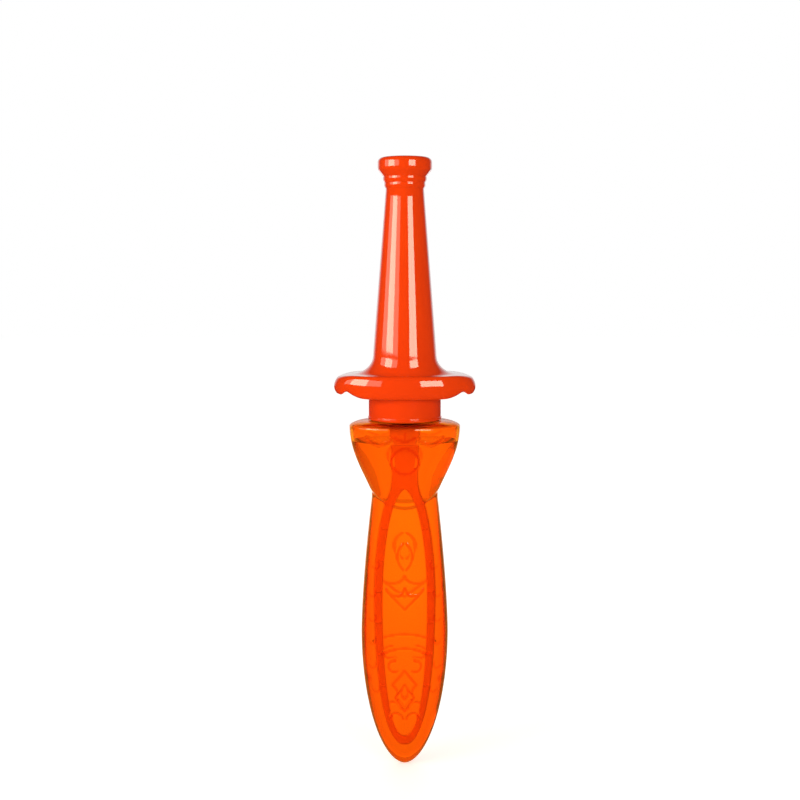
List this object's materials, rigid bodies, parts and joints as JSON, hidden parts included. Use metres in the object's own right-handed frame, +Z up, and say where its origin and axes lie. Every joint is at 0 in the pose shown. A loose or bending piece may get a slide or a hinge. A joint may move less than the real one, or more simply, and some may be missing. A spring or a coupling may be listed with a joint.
{
  "type": "bubble wand",
  "caption": "Sword-shaped bubble wand: a translucent blade-shaped bottle of bubble solution, closed by a hilt whose screw cap carries one long leaf-shaped loop.",
  "frame": {"origin": "on the long axis at the bottle's waist, just under the bowl, where a hand or ring holds the bottle", "axes": "+Z up the long axis from the tip to the pommel, +X along the guard's width, front facing -Y"},
  "size_m": [0.0788, 0.05, 0.3422],
  "materials": {
    "bottle": "translucent blown plastic, glossy",
    "hilt": "opaque blown plastic, glossy",
    "wand": "opaque moulded plastic, satin",
    "seal": "soft foam ring"
  },
  "bodies": {
    "bottle": {"bottle": "bottle"},
    "seal": {"seal_ring": "seal"},
    "sword": {"hilt": "hilt", "screw_cap": "hilt", "wand": "wand"}
  },
  "joints": [
    {"name": "draw_out", "type": "slide", "parent": "bottle", "child": "seal", "axis": [0, 0, 1], "range_m": [0, 0.21]},
    {"name": "unscrew", "type": "hinge", "parent": "seal", "child": "sword", "pos_m": [0, 0, 0.055], "axis": [0, 0, 1], "range_deg": [0, 450]}
  ]
}
